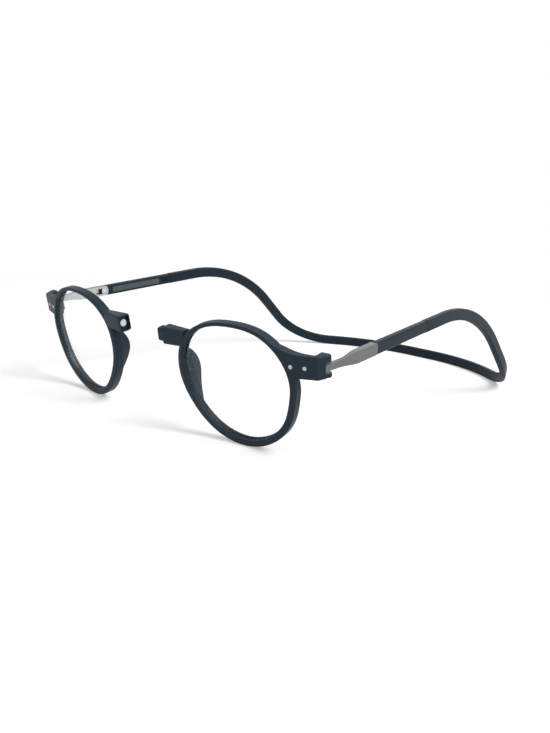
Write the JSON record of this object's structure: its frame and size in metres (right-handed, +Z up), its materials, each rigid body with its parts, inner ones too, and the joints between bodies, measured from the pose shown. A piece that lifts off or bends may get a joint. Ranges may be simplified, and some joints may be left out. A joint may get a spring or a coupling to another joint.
{
  "type": "front-magnet reading glasses",
  "caption": "Round reading glasses whose front halves join with magnets at the nose, on sliding temples and one wrap-around headband.",
  "frame": {"origin": "middle of the bounding box, on the table the glasses stand on", "axes": "+Z up, -Y the wearer's front, +X the wearer's left"},
  "size_m": [0.1492, 0.1998, 0.0447],
  "materials": {
    "band_plastic": "satin flexible nylon",
    "frosted_blue": "frosted, slightly see-through at its edges",
    "lens_clear": "polished clear acrylic",
    "magnet_nickel": "nickel plated",
    "magnet_cup_steel": "drawn",
    "hinge_steel": "satin",
    "rivet_steel": "polished heads",
    "screw_steel": "turned",
    "satin_arm": "satin blasted",
    "bright_clip": "polished",
    "sleeve_plastic": "satin nylon",
    "spring_steel": "rolled",
    "rail_steel": "rolled",
    "pin_steel": "ground"
  },
  "bodies": {
    "headband": {"headband": "band_plastic"},
    "left_rail": {"left_slide_rail": "rail_steel", "left_rail_pin": "pin_steel"},
    "left_arm": {"left_temple_arm": "satin_arm", "left_tenon_clip": "bright_clip", "left_temple_sleeve": "sleeve_plastic", "left_detent_spring": "spring_steel"},
    "left_front": {"left_front_frame": "frosted_blue", "left_lens": "lens_clear", "left_bridge_magnet": "magnet_nickel", "left_magnet_cup": "magnet_cup_steel", "left_hinge_leaf": "hinge_steel", "left_leaf_rivets": "rivet_steel", "left_hinge_screw": "screw_steel"},
    "right_rail": {"right_slide_rail": "rail_steel", "right_rail_pin": "pin_steel"},
    "right_arm": {"right_temple_arm": "satin_arm", "right_tenon_clip": "bright_clip", "right_temple_sleeve": "sleeve_plastic", "right_detent_spring": "spring_steel"},
    "right_front": {"right_front_frame": "frosted_blue", "right_lens": "lens_clear", "right_bridge_magnet": "magnet_nickel", "right_magnet_cup": "magnet_cup_steel", "right_hinge_leaf": "hinge_steel", "right_leaf_rivets": "rivet_steel", "right_hinge_screw": "screw_steel"}
  },
  "joints": [
    {"name": "left_band_flex", "type": "hinge", "parent": "headband", "child": "left_rail", "pos_m": [0.066, 0.035, 0], "axis": [0, 0, -1], "range_deg": [-25, 4.61], "stiffness_Nm_per_rad": 0.5, "deforming": ["headband"]},
    {"name": "right_band_flex", "type": "hinge", "parent": "headband", "child": "right_rail", "pos_m": [-0.066, 0.035, 0], "axis": [0, 0, 1], "range_deg": [-25, 4.61], "stiffness_Nm_per_rad": 0.5, "deforming": ["headband"]},
    {"name": "left_length_slide", "type": "slide", "parent": "left_rail", "child": "left_arm", "axis": [0.0566, -0.9925, -0.1082], "range_m": [0, 0.015]},
    {"name": "left_front_fold", "type": "hinge", "parent": "left_arm", "child": "left_front", "pos_m": [0.07316, -0.08486, 0.03354], "axis": [-0.0062, 0.108, -0.9941], "range_deg": [0, 75]},
    {"name": "right_length_slide", "type": "slide", "parent": "right_rail", "child": "right_arm", "axis": [-0.0566, -0.9925, -0.1082], "range_m": [0, 0.015]},
    {"name": "right_front_fold", "type": "hinge", "parent": "right_arm", "child": "right_front", "pos_m": [-0.07316, -0.08486, 0.03354], "axis": [-0.0062, -0.108, 0.9941], "range_deg": [0, 75]}
  ],
  "couplings": [
    {"joint": "right_band_flex", "follows": "left_band_flex", "ratio": 1}
  ]
}
